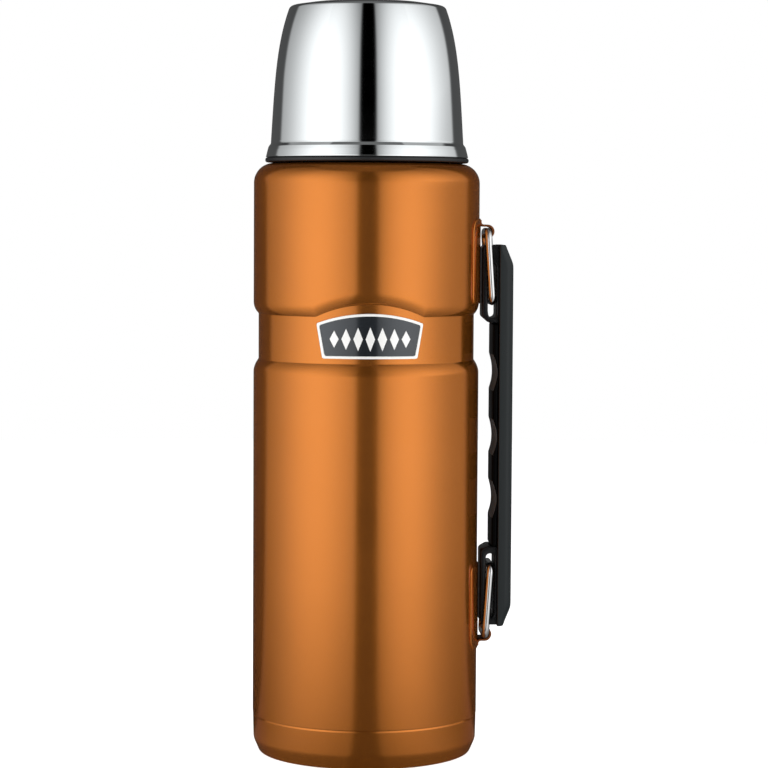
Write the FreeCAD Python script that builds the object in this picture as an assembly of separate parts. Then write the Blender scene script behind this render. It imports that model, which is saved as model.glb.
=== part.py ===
import FreeCAD, Part
import math
import os

# A vacuum-insulated steel growler, in millimetres. The axis of the flask is Z, the flask stands on Z = 0,
# the handle is on the +X side and the badge faces -Y.

V = FreeCAD.Vector
AXIS = V(0, 0, 1)
MIRROR_UP = V(0, 0, 1)

# Flask, outer skin
BODY_R = 47.1            # outer radius of the painted body
SHELL_T = 0.6            # sheet thickness of the outer shell
SEAM_Z = 16.5            # where the base cap meets the shell
BAND_R = 45.0            # radius of the recessed belt that carries the badge
BAND_LOW = 165.2
BAND_HIGH = 184.1
SHOULDER_Z = 246.6       # flat top of the shoulder
NECK_R = 34.5            # outer radius of the outer neck
NECK_TOP = 260.0

# Flask, inner vessel
VESSEL_R = 42.5          # outer radius of the inner vessel
VESSEL_T = 0.5
VESSEL_LOW = 11.0
MOUTH_R = 31.6           # outer radius of the inner neck at its thread
LAND_R = 30.5            # outer radius of the sealing land under the thread

# Threads: ridges on the necks, with room between crests for a straight lift
PITCH = 5.0
THREAD_TURNS = 1.25

# Stopper
PLUG_R = 28.9
PLUG_LOW = 232.0
FLANGE_Z = 262.6
KNOB_R = 30.5
KNOB_TOP = 283.0
FLUTES = 16

# Cup
CUP_T = 0.5
CUP_LOW = 248.9
CUP_TOP = 313.7
LINER_R = 37.3           # bore of the liner at its thread
RING_R = 42.4            # black ring under the cup

# Handle
PIVOT_X = 50.2           # axis of a wire ring in its bracket
PIVOT_HIGH = 218.6
PIVOT_LOW = 49.6
RING_LENGTH = 29.2       # from one bar of a wire ring to the other
RING_LEAN = 3.9          # lean of the folded rings, degrees
WIRE_R = 1.5
RING_HALF = 10.0         # half the spacing of a ring's two legs
RING_BEND = 3.0
HOOK_R = 2.9             # outer radius of the rolled hook
HOOK_T = 0.9
HOOK_HALF = 6.0          # half width of the hook
SADDLE_LOW = 188.6
SADDLE_HIGH = 224.0
SADDLE_HALF = 19.5
SADDLE_T = 0.5
GRIP_LOW = 53.8
GRIP_HIGH = 213.1
GRIP_IN = 52.2           # inner face of the finger grip
GRIP_SPLIT = 55.0        # where the outer cover begins
GRIP_OUT = 60.9
GRIP_HALF = 12.0
EAR_IN = 48.2
EAR_HALF = 8.0
SLOT_W = 3.6
FINGER_SCALLOPS = (107.0, 133.0, 160.0)
SCREW_HEIGHTS = (93.5, 172.5)


def point(rz):
    """A point of a profile, given as radius and height."""
    return V(rz[0], 0, rz[1])


def path(start, *steps):
    """An open wire in the X-Z plane. A step is a point, or a pair of points: an arc's middle and its end."""
    edges = []
    last = point(start)
    for step in steps:
        if isinstance(step[0], tuple):
            end = point(step[1])
            edges.append(Part.Arc(last, point(step[0]), end).toShape())
        else:
            end = point(step)
            edges.append(Part.LineSegment(last, end).toShape())
        last = end
    return Part.Wire(edges)


def turned(start, *steps):
    """A solid turned about Z from a closed profile."""
    return Part.Face(path(start, *steps, start)).revolve(V(0, 0, 0), AXIS, 360)


def sheet_face(thickness, start, *steps):
    """The section of a sheet whose outer side follows a path. A climbing path is thickened towards the axis."""
    return path(start, *steps).makeOffset2D(thickness, 2, True, True, False)


def turned_sheet(thickness, start, *steps):
    return sheet_face(thickness, start, *steps).revolve(V(0, 0, 0), AXIS, 360)


def ring_of(inner, outer, low, high):
    """A plain ring about Z."""
    height = high - low
    return Part.makeCylinder(outer, height, V(0, 0, low)).cut(Part.makeCylinder(inner, height, V(0, 0, low)))


def block(x0, x1, half_y, z0, z1):
    """A box that is centred on the X-Z plane."""
    return Part.makeBox(x1 - x0, 2 * half_y, z1 - z0, V(x0, -half_y, z0))


def prism(half_y, start, *steps):
    """A closed X-Z outline carried from -half_y to +half_y along Y."""
    face = Part.Face(path(start, *steps, start))
    face.translate(V(0, -half_y, 0))
    return face.extrude(V(0, 2 * half_y, 0))


def thread_ridge(radius, height, start_z, outward):
    """A rounded-off trapezoid carried along a helix on a neck: height is how far its crest stands off."""
    side = 1 if outward else -1
    helix = Part.makeHelix(PITCH, PITCH * THREAD_TURNS, radius)
    helix.translate(V(0, 0, start_z))
    root = radius - side * 0.25
    crest = radius + side * height
    corners = [(root, -1.2), (crest, -0.45), (crest, 0.45), (root, 1.2), (root, -1.2)]
    section = Part.makePolygon([V(r, 0, start_z + z) for r, z in corners])
    return Part.Wire(helix).makePipeShell([section], True, True)


def one_solid(shape):
    """The single solid of a fused shape."""
    shape = shape.removeSplitter()
    assert len(shape.Solids) == 1, len(shape.Solids)
    return shape.Solids[0]


# ---------------------------------------------------------------- flask

# Outer skin, from the base seam up the body, over the belt and the shoulder, and up the neck.
SKIN = (
    (BODY_R - 0.1, SEAM_Z),
    (BODY_R, SEAM_Z + 8),
    (BODY_R, BAND_LOW - 5.6),
    ((46.93, BAND_LOW - 3.6), (46.4, BAND_LOW - 2.0)),
    (BAND_R, BAND_LOW),
    (BAND_R, BAND_HIGH),
    (46.4, BAND_HIGH + 2.0),
    ((46.93, BAND_HIGH + 3.6), (BODY_R, BAND_HIGH + 5.6)),
    (BODY_R, SHOULDER_Z - 8.6),
    ((46.0, SHOULDER_Z - 3.9), (42.2, SHOULDER_Z)),
    (NECK_R + 1.5, SHOULDER_Z),
    ((NECK_R + 0.44, SHOULDER_Z + 0.44), (NECK_R, SHOULDER_Z + 1.5)),
    (NECK_R, NECK_TOP),
)


def arch_prism(grow):
    """The arched recess above the belt, carried through the front of the body."""
    half = 23.0 + grow
    spring = BAND_HIGH + 0.3 + grow
    floor = BAND_LOW + 4
    outline = path((-half, floor), (-half, spring), ((0, 189.6 + grow), (half, spring)), (half, floor),
                   (-half, floor))
    front = Part.Face(outline)
    front.translate(V(0, -60, 0))
    return front.extrude(V(0, 35, 0))


def outer_shell():
    shell = turned_sheet(SHELL_T, *SKIN)
    blank = turned(*SKIN, (0, NECK_TOP), (0, SEAM_Z))
    height = 2 * BAND_HIGH
    wall = arch_prism(SHELL_T).cut(Part.makeCylinder(BAND_R - SHELL_T, height)).common(blank)
    pocket = arch_prism(0).cut(Part.makeCylinder(BAND_R, height))
    shell = shell.fuse(wall).cut(pocket)
    return one_solid(shell.fuse(thread_ridge(NECK_R, 0.9, 250.5, True)))


def base_cap():
    """Pressed base: recessed centre with a port, flat standing ring, tight corner, and a collar in the shell."""
    return turned((2.0, 3.0), (31.5, 3.0), ((34.0, 2.1), (35.6, 0)), (43.2, 0), ((44.3, 0.4), (44.9, 1.3)),
                  ((46.0, 4.6), (46.6, 8.6)), (46.8, SEAM_Z - 0.9), (46.25, SEAM_Z), (46.25, SEAM_Z + 7),
                  (45.65, SEAM_Z + 7), (45.65, SEAM_Z - 0.3), (46.15, SEAM_Z - 1.2), (46.0, 8.7),
                  ((45.4, 4.9), (44.35, 1.6)), ((43.9, 0.85), (43.2, 0.6)), (35.9, 0.6),
                  ((34.4, 2.6), (31.6, 3.6)), (2.0, 3.6))


def vacuum_seal():
    """Solder plug that closes the evacuation port."""
    return turned((0, 2.7), (1.9, 2.7), (1.9, 3.6), ((1.6, 4.3), (0.9, 4.6)), (0, 4.6))


def port_cover():
    """Thin disc glued in the recess of the base, over the port."""
    return turned((0, 2.1), (13.6, 2.1), (14.0, 2.4), (14.0, 2.6), (0, 2.6))


def inner_vessel():
    vessel = turned_sheet(VESSEL_T, (0, VESSEL_LOW), (34.0, VESSEL_LOW),
                          ((40.01, VESSEL_LOW + 2.49), (VESSEL_R, VESSEL_LOW + 8.5)), (VESSEL_R, 226.0),
                          ((40.16, 231.66), (34.5, 234.0)), (32.5, 234.0), ((31.1, 234.6), (LAND_R, 236.0)),
                          (LAND_R, 246.5), (MOUTH_R, 248.2), (MOUTH_R, NECK_TOP),
                          ((32.475, NECK_TOP + 0.875), (33.35, NECK_TOP)), (33.35, NECK_TOP - 4))
    return one_solid(vessel.fuse(thread_ridge(MOUTH_R - VESSEL_T, 1.1, 251.2, False)))


def radiation_shield():
    """Foil wrapped round the inner vessel, in the vacuum."""
    return ring_of(43.0, 43.15, 25.0, 222.0)


def getter():
    """Getter pellet in its holder, on the vessel's underside."""
    return Part.makeCylinder(5.0, 3.2, V(20, 0, VESSEL_LOW - 3.3))


def badge_outline(half_low, low, half_high, high, crown):
    """A badge outline, flat below and arched above, carried through the front of the flask."""
    x_low = BAND_R * math.sin(math.radians(half_low))
    x_high = BAND_R * math.sin(math.radians(half_high))
    outline = path((-x_low, low), (-x_high, high), ((0, crown), (x_high, high)), (x_low, low), (-x_low, low))
    front = Part.Face(outline)
    front.translate(V(0, -60, 0))
    return front.extrude(V(0, 35, 0))


BADGE_EDGE = (25.1, 167.4, 28.5, 181.8, 185.6)
BADGE_FIELD = (24.1, 168.9, 26.7, 181.35, 184.7)


def badge_plate():
    return one_solid(ring_of(BAND_R + 0.03, BAND_R + 0.6, 150, 200).common(badge_outline(*BADGE_EDGE)))


def badge_border():
    frame = badge_outline(*BADGE_EDGE).cut(badge_outline(*BADGE_FIELD))
    return one_solid(ring_of(BAND_R + 0.62, BAND_R + 1.0, 150, 200).common(frame))


def upper_bracket():
    """Saddle plate welded to the body. A strip leaves its head and is rolled round the wire ring's bar."""
    half, low, high = SADDLE_HALF, SADDLE_LOW, SADDLE_HIGH
    foot, head = 3.0, 6.0
    bulge = 1 - math.sqrt(0.5)
    corners = ((-half + foot, low), (half - foot, low),
               ((half - foot * bulge, low + foot * bulge), (half, low + foot)), (half, high - head),
               ((half - head * bulge, high - head * bulge), (half - head, high)), (-half + head, high),
               ((-half + head * bulge, high - head * bulge), (-half, high - head)),
               (-half, low + foot), ((-half + foot * bulge, low + foot * bulge), (-half + foot, low)))
    outline = Part.Face(path(*corners))
    outline.rotate(V(0, 0, 0), AXIS, 90)
    plate = outline.extrude(V(60, 0, 0))
    inner = BODY_R + 0.05
    plate = plate.common(ring_of(inner, inner + SADDLE_T, SADDLE_LOW - 1, SADDLE_HIGH + 1))
    root = BODY_R + 0.05 + HOOK_T
    top = PIVOT_HIGH + HOOK_R
    turn = HOOK_T * 1.2
    lip = math.radians(-70)
    on_lip = (PIVOT_X + HOOK_R * math.cos(lip), PIVOT_HIGH + HOOK_R * math.sin(lip))
    half_lip = (PIVOT_X + HOOK_R * math.cos(lip / 2), PIVOT_HIGH + HOOK_R * math.sin(lip / 2))
    flare = (root + turn * (1 - math.sqrt(0.5)), top + turn * (1 - math.sqrt(0.5)))
    rise = PIVOT_X + HOOK_R * math.sqrt(0.5), PIVOT_HIGH + HOOK_R * math.sqrt(0.5)
    hook = sheet_face(-HOOK_T, (root, SADDLE_HIGH - 0.4), (root, top + turn), (flare, (root + turn, top)),
                      (PIVOT_X, top), (rise, (PIVOT_X + HOOK_R, PIVOT_HIGH)), (half_lip, on_lip))
    hook.translate(V(0, -HOOK_HALF, 0))
    return one_solid(plate.fuse(hook.extrude(V(0, 2 * HOOK_HALF, 0))))


def lower_bracket():
    """The same pressing, turned upside down."""
    middle = V(0, 0, (PIVOT_HIGH + PIVOT_LOW) / 2)
    return upper_bracket().mirror(middle, MIRROR_UP)


# ---------------------------------------------------------------- stopper

def stopper_seal():
    """Two-lipped silicone ring, free to turn in the plug's groove."""
    return turned((27.4, 237.1), (29.2, 237.1), (29.75, 238.1), (29.2, 239.1), (29.2, 239.5), (29.75, 240.5),
                  (29.2, 241.5), (27.4, 241.5))


def stopper_body():
    """Threaded plug with a groove for its seal, a flange over the mouth, and a collar for the knob."""
    body = turned((25.5, PLUG_LOW), (PLUG_R, PLUG_LOW), (PLUG_R, 237.0), (27.3, 237.0), (27.3, 241.6),
                  (PLUG_R, 241.6), (PLUG_R, FLANGE_Z), (31.55, FLANGE_Z), (31.55, 263.3), (33.25, 263.3),
                  (33.25, FLANGE_Z), (33.9, FLANGE_Z), (33.9, 264.4), (33.3, 265.0), (26.0, 265.0), (26.0, 272.0),
                  (24.0, 272.0), (24.0, 263.5), (25.5, 262.0))
    return one_solid(body.fuse(thread_ridge(PLUG_R, 0.8, 248.6, True)))


def stopper_o_ring():
    return Part.makeTorus(32.4, 0.8, V(0, 0, 262.45))


def stopper_base():
    """Disc welded into the bottom of the plug, over the foam."""
    return turned((0, 233.0), (22.0, 233.0), (23.0, PLUG_LOW + 0.1), (25.4, PLUG_LOW + 0.1), (25.4, 233.9),
                  (0, 233.9))


def stopper_insulation():
    return turned((0, 234.0), (25.3, 234.0), (25.3, 261.8), (23.8, 263.4), (23.8, 279.0), (0, 279.0))


def stopper_knob():
    """Fluted knob pressed over the plug's collar."""
    knob = turned((26.1, 265.1), (KNOB_R, 265.1), (KNOB_R, KNOB_TOP - 3.6),
                  ((29.6, KNOB_TOP - 1.0), (27.4, KNOB_TOP - 0.4)), (0, KNOB_TOP), (0, KNOB_TOP - 2.6),
                  (26.6, KNOB_TOP - 3.0), (27.0, KNOB_TOP - 4.0), (27.0, 272.6), (26.1, 272.1))
    for i in range(FLUTES):
        turn = 2 * math.pi * i / FLUTES
        knob = knob.cut(Part.makeCylinder(2.4, 20, V(32.0 * math.cos(turn), 32.0 * math.sin(turn), 266.6)))
    return one_solid(knob)


# ---------------------------------------------------------------- cup

def cup_outer():
    """Drawn steel cup: flared mouth band, slowly closing wall, tight top corner and slightly crowned top."""
    return turned((42.1, CUP_LOW), ((41.45, 251.8), (40.9, 253.6)), (40.15, 254.3),
                  ((38.4, 278.5), (34.85, 302.0)), ((34.1, 305.9), (33.2, 308.6)),
                  ((32.1, 310.8), (29.8, 312.1)), ((19.0, CUP_TOP - 0.4), (8.0, CUP_TOP)), (0, CUP_TOP),
                  (0, CUP_TOP - CUP_T), (8.0, CUP_TOP - CUP_T), ((19.0, CUP_TOP - 0.4 - CUP_T), (29.6, 311.6)),
                  ((31.75, 310.4), (32.72, 308.4)), ((33.6, 305.8), (34.36, 301.9)),
                  ((37.9, 278.5), (39.65, 254.4)), (40.4, 253.65), (40.42, 253.5), ((40.97, 251.7), (41.6, CUP_LOW)))


def cup_liner():
    """Moulded liner with the cup's thread, and a groove that keeps the mouth ring."""
    liner = turned((LINER_R, 249.1), (39.3, 249.1), (39.3, 250.6), (38.9, 250.6), (38.9, 251.7), (40.5, 251.7),
                   (40.5, 250.6), (40.1, 250.6), (40.1, 249.1), (41.35, 249.1), ((40.75, 251.6), (40.1, 253.3)),
                   (39.35, 254.1), ((37.6, 278.5), (34.05, 301.5)), ((32.3, 306.6), (28.5, 308.0)), (0, 308.6),
                   (0, 307.0), (28.0, 306.4), ((30.9, 305.3), (32.45, 301.0)), ((36.0, 278.5), (LINER_R, 262.0)))
    return one_solid(liner.fuse(thread_ridge(LINER_R, 1.5, 251.4, False)))


def mouth_ring():
    """Black ring that the cup turns on, with a T-shaped rib kept in the liner's groove."""
    return turned((38.0, 246.9), (RING_R - 0.3, 246.9), (RING_R, 247.2), (RING_R, 248.5), (RING_R - 0.3, 248.8),
                  (40.0, 248.8), (40.0, 250.75), (40.35, 250.75), (40.35, 251.5), (39.05, 251.5),
                  (39.05, 250.75), (39.4, 250.75), (39.4, 248.8), (38.0, 248.8))


# ---------------------------------------------------------------- handle

def wire_ring(pivot_z, upward):
    """Welded loop of round wire, from its pivot bar to the bar that the grip hangs on."""
    lean = math.radians(RING_LEAN)
    along = V(math.sin(lean), 0, (1 if upward else -1) * math.cos(lean))
    pivot = V(PIVOT_X, 0, pivot_z)
    across = V(0, 1, 0)
    bend = RING_BEND
    diagonal = bend * (1 - math.sqrt(0.5))

    def at(y, distance):
        return pivot + across * y + along * distance

    edges = []
    half, length = RING_HALF, RING_LENGTH
    bars = [((-half + bend, 0), (half - bend, 0)), ((half, bend), (half, length - bend)),
            ((half - bend, length), (-half + bend, length)), ((-half, length - bend), (-half, bend))]
    bends = [(half - diagonal, diagonal), (half - diagonal, length - diagonal),
             (-half + diagonal, length - diagonal), (-half + diagonal, diagonal)]
    for i, (first, second) in enumerate(bars):
        edges.append(Part.LineSegment(at(*first), at(*second)).toShape())
        edges.append(Part.Arc(at(*second), at(*bends[i]), at(*bars[(i + 1) % 4][0])).toShape())
    wire = Part.Wire(edges)
    section = Part.Wire(Part.makeCircle(WIRE_R, at(-half + bend, 0), across))
    return wire.makePipeShell([section], True, True)


def upper_ring():
    return wire_ring(PIVOT_HIGH, False)


def lower_ring():
    return wire_ring(PIVOT_LOW, True)


def slot(low, high):
    """A through slot with round ends, across an ear of the grip."""
    middle = PIVOT_X + RING_LENGTH * math.sin(math.radians(RING_LEAN))
    r = SLOT_W / 2
    return prism(EAR_HALF + 5, (middle - r, low + r), ((middle, low), (middle + r, low + r)),
                 (middle + r, high - r), ((middle, high), (middle - r, high - r)))


def handle_core():
    """Black moulding: a spine inside the cover, and two ears with slots for the wire rings."""
    spine = block(GRIP_SPLIT, 57.4, 10.4, 56.0, 210.5)
    high_ear = prism(EAR_HALF, (GRIP_SPLIT, 180.2), (GRIP_SPLIT, GRIP_HIGH), (50.2, GRIP_HIGH),
                     ((48.8, GRIP_HIGH - 0.6), (EAR_IN, GRIP_HIGH - 2)), (EAR_IN, 184.0),
                     ((49.0, 182.3), (52.0, 180.2)))
    low_ear = prism(EAR_HALF, (GRIP_SPLIT, 87.2), (GRIP_SPLIT, GRIP_LOW), (50.2, GRIP_LOW),
                    ((48.8, GRIP_LOW + 0.6), (EAR_IN, GRIP_LOW + 2)), (EAR_IN, 84.2),
                    ((49.0, 86.0), (51.4, 87.2)))
    core = spine.fuse(high_ear).fuse(low_ear).cut(slot(182.7, 205.2)).cut(slot(56.8, 83.9))
    for z in SCREW_HEIGHTS:
        core = core.cut(Part.makeCylinder(2.5, 1.35, V(GRIP_SPLIT, 0, z), V(1, 0, 0)))
        core = core.cut(Part.makeCylinder(1.35, 5, V(GRIP_SPLIT, 0, z), V(1, 0, 0)))
    return one_solid(core)


def handle_cover():
    """Outer cover of the grip, bevelled at both ends and rounded along its outer edges."""
    cover = prism(GRIP_HALF, (GRIP_SPLIT, GRIP_LOW), (57.5, GRIP_LOW), (GRIP_OUT, GRIP_LOW + 8),
                  (GRIP_OUT, GRIP_HIGH - 8), (57.5, GRIP_HIGH), (GRIP_SPLIT, GRIP_HIGH))
    long_edges = [e for e in cover.Edges if e.Length > 100 and e.CenterOfMass.x > GRIP_OUT - 0.1]
    end_edges = [e for e in cover.Edges if 8 < e.Length < 10 and e.CenterOfMass.x > 58]
    cover = cover.makeFillet(3.4, long_edges + end_edges)
    cover = cover.cut(block(GRIP_SPLIT - 1, 57.5, 10.5, 55.9, 210.6))
    for z in SCREW_HEIGHTS:
        cover = cover.cut(Part.makeCylinder(1.25, 2.4, V(57.4, 0, z), V(1, 0, 0)))
    return one_solid(cover)


def finger_grip():
    """Soft insert between the ears, with a hollow for each finger."""
    grip = block(GRIP_IN, GRIP_SPLIT - 0.05, 11.6, 88.4, 179.6)
    inner_edges = [e for e in grip.Edges if e.Length > 50 and e.CenterOfMass.x < GRIP_IN + 0.1]
    grip = grip.makeFillet(1.6, inner_edges)
    depth = 2.0
    half = 6.75
    radius = (half * half + depth * depth) / (2 * depth)
    for z in FINGER_SCALLOPS:
        grip = grip.cut(Part.makeCylinder(radius, 30, V(GRIP_IN + depth - radius, -15, z), V(0, 1, 0)))
    return one_solid(grip)


def handle_screws():
    """Two screws that hold the cover to the core, under the finger grip."""
    screws = []
    for z in SCREW_HEIGHTS:
        head = Part.makeCylinder(2.4, 1.2, V(GRIP_SPLIT + 0.1, 0, z), V(1, 0, 0))
        socket = Part.makeCylinder(1.0, 0.7, V(GRIP_SPLIT + 0.1, 0, z), V(1, 0, 0))
        shank = Part.makeCylinder(1.2, 4.5, V(GRIP_SPLIT + 0.1, 0, z), V(1, 0, 0))
        screws.append(one_solid(head.fuse(shank).cut(socket)))
    return Part.makeCompound(screws)


NODES = (
    outer_shell, base_cap, vacuum_seal, port_cover, inner_vessel, radiation_shield, getter, badge_plate,
    badge_border, upper_bracket, lower_bracket, stopper_seal, stopper_body, stopper_o_ring, stopper_base,
    stopper_insulation, stopper_knob, mouth_ring, cup_outer, cup_liner, upper_ring, lower_ring, handle_core,
    handle_cover, finger_grip, handle_screws,
)

os.makedirs("parts", exist_ok=True)
for make in NODES:
    shape = make()
    assert shape.isValid(), make.__name__
    shape.exportStep("parts/" + make.__name__ + ".step")
    box = shape.BoundBox
    print(f"{make.__name__:20s} {shape.Volume:10.1f} mm3  x {box.XMin:7.2f} {box.XMax:7.2f}"
          f"  y {box.YMin:7.2f} {box.YMax:7.2f}  z {box.ZMin:7.2f} {box.ZMax:7.2f}")
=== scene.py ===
import math

import bmesh
import bpy
import numpy as np
from mathutils import Matrix


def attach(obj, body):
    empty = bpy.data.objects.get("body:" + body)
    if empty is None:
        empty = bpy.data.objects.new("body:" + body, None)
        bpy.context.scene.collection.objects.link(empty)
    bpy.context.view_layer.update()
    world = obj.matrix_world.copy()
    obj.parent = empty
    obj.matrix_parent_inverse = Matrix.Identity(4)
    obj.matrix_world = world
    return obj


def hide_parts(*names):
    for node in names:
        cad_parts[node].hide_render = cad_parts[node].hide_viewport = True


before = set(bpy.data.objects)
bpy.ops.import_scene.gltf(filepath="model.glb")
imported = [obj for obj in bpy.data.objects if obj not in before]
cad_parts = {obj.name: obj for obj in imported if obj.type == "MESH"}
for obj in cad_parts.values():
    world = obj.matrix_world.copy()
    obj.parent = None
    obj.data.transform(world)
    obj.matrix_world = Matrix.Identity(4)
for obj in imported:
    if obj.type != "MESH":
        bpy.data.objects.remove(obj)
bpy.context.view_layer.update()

# ======================================================================================================
# Outer skin: one deep-drawn steel sheet, lacquered copper orange. It climbs from the base seam over the
# rolled belt and its arched recess, closes over the shoulder, and ends in the bare steel neck.
# ======================================================================================================
MM = 0.001
BODY_RADIUS = 47.1
SHEET = 0.6
BELT_RADIUS = 45.0
BELT_LOW = 165.2
BELT_HIGH = 184.1
STEP_HEIGHT = 5.5
SHOULDER = 246.6
NECK_RADIUS = 34.5
NECK_TOP = 260.0
SEAM = 16.5
ARCH_LIFT = 5.2
ARCH_HALF = math.radians(29.0)
FRONT = math.radians(-90.0)


def filleted(corners, steps=8):
    """Points along straight runs whose corners are rounded. Each corner is (a, b, fillet radius). The arc of
    a fillet has its centre on the corner's bisector, radius / sin(half the corner's angle) away."""
    corners = [(np.array(c[:2], float), c[2]) for c in corners]
    runs = [corners[0][0][None]]
    for (before, _), (corner, radius), (after, _) in zip(corners, corners[1:], corners[2:]):
        if radius == 0:
            runs.append(corner[None])
            continue
        back = (before - corner) / np.linalg.norm(before - corner)
        ahead = (after - corner) / np.linalg.norm(after - corner)
        half = math.acos(np.clip(back @ ahead, -1, 1)) / 2
        bisector = (back + ahead) / np.linalg.norm(back + ahead)
        centre = corner + bisector * radius / math.sin(half)
        first = corner + back * radius / math.tan(half) - centre
        last = corner + ahead * radius / math.tan(half) - centre
        sweep = math.pi - 2 * half
        part = np.linspace(0, 1, steps + 1)[:, None]
        arc = (np.sin((1 - part) * sweep) * first + np.sin(part * sweep) * last) / math.sin(sweep)
        runs.append(centre + arc)
    runs.append(corners[-1][0][None])
    return np.concatenate(runs)


def subdivided(points, longest):
    """The same line with more points on its long runs, so that no run is longer than a given length."""
    lengths = np.linalg.norm(np.diff(points, axis=0), axis=1)
    counts = np.maximum(1, np.ceil(lengths / longest)).astype(int)
    pieces = [a + (b - a) * np.arange(n)[:, None] / n for a, b, n in zip(points, points[1:], counts)]
    return np.concatenate(pieces + [points[-1:]])


def surface(name, points, close_rows, close_columns, cap_ends=False, crease=35.0):
    """An object made from a grid of points in millimetres, row by column. Rows or columns may close on
    themselves, doubled points at poles are merged, and the faces are turned outwards."""
    rows, columns = points.shape[:2]
    index = np.arange(rows * columns).reshape(rows, columns)
    if close_rows:
        index = np.concatenate([index, index[:1]])
    if close_columns:
        index = np.concatenate([index, index[:, :1]], axis=1)
    quads = np.stack([index[:-1, :-1], index[:-1, 1:], index[1:, 1:], index[1:, :-1]], axis=-1).reshape(-1, 4)
    faces = quads.tolist()
    if cap_ends:
        faces += [index[0, :columns].tolist(), index[-1, :columns].tolist()]
    mesh = bpy.data.meshes.new(name)
    mesh.from_pydata((points.reshape(-1, 3) * MM).tolist(), [], faces)
    work = bmesh.new()
    work.from_mesh(mesh)
    bmesh.ops.remove_doubles(work, verts=work.verts, dist=2e-7)
    bmesh.ops.dissolve_degenerate(work, edges=work.edges, dist=1e-8)
    bmesh.ops.recalc_face_normals(work, faces=work.faces)
    work.to_mesh(mesh)
    work.free()
    mesh.shade_smooth()
    mesh.set_sharp_from_angle(angle=math.radians(crease))
    piece = bpy.data.objects.new(name, mesh)
    bpy.context.scene.collection.objects.link(piece)
    return piece


def turned(name, profile, around=240, crease=35.0):
    """A closed profile turned about Z: its point (r, z) at angle a goes to (r cos a, r sin a, z)."""
    angle = np.linspace(0, 2 * math.pi, around, endpoint=False)
    radius = profile[:, 0][:, None]
    points = np.stack([radius * np.cos(angle), radius * np.sin(angle),
                       np.broadcast_to(profile[:, 1][:, None], (len(profile), around))], axis=-1)
    return surface(name, points, True, True, crease=crease)


def arch_lift(angle, height):
    """How far the recess lifts a point of the skin: a parabola across the front, full at the step above the
    belt, and fading into the belt below it and into the plain wall above it."""
    across = np.clip(1 - (angle / ARCH_HALF) ** 2, 0, None)
    weight = np.interp(height, [BELT_HIGH - 9, BELT_HIGH - 2, BELT_HIGH + 6.5, BELT_HIGH + 39], [0, 1, 1, 0])
    return ARCH_LIFT * across * weight


def step_curve(corner, direction, power):
    """Radius and height from the belt's corner out to the full body: r = belt + step (1 - (1 - s) ^ power)."""
    part = np.linspace(0.04, 1, 24) ** 1.3
    radius = BELT_RADIUS + (BODY_RADIUS - BELT_RADIUS) * (1 - (1 - part) ** power)
    return np.stack([radius, corner + direction * STEP_HEIGHT * part], axis=1)


def skin_side(inset):
    """One side of the sheet, as radius and height, inset from the outer side."""
    foot = filleted([(BODY_RADIUS - 0.04, SEAM, 0), (BODY_RADIUS, SEAM + 0.4, 0.3), (BODY_RADIUS, SEAM + 3, 0)])
    low, high = step_curve(BELT_LOW, -1, 1.9)[::-1], step_curve(BELT_HIGH, 1, 2.6)
    belt = filleted([(*low[-1], 0), (BELT_RADIUS, BELT_LOW, 0.35), (BELT_RADIUS, BELT_HIGH, 0.35), (*high[0], 0)],
                    steps=5)
    top = filleted([(BODY_RADIUS, BELT_HIGH + 9, 0), (BODY_RADIUS, SHOULDER, 8.2), (NECK_RADIUS, SHOULDER, 1.5),
                    (NECK_RADIUS, NECK_TOP, 0)], steps=14)
    line = np.concatenate([foot, low[:-1], belt, high[1:], top])
    ahead = np.gradient(line, axis=0)
    side = np.stack([ahead[:, 1], -ahead[:, 0]], axis=1) / np.linalg.norm(ahead, axis=1, keepdims=True)
    line = line - inset * side
    line[0, 1], line[-1, 1] = SEAM, NECK_TOP
    return subdivided(line, 2.4)


skin_profile = np.concatenate([skin_side(0.0), skin_side(SHEET)[::-1]])
skin_angle = np.linspace(-math.pi, math.pi, 540, endpoint=False)
skin_radius = np.broadcast_to(skin_profile[:, :1], (len(skin_profile), len(skin_angle)))
skin_height = skin_profile[:, 1:] + arch_lift(skin_angle[None], skin_profile[:, 1:])
skin = surface("skin", np.stack([skin_radius * np.cos(skin_angle + FRONT),
                                 skin_radius * np.sin(skin_angle + FRONT), skin_height], axis=-1), True, True)


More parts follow.
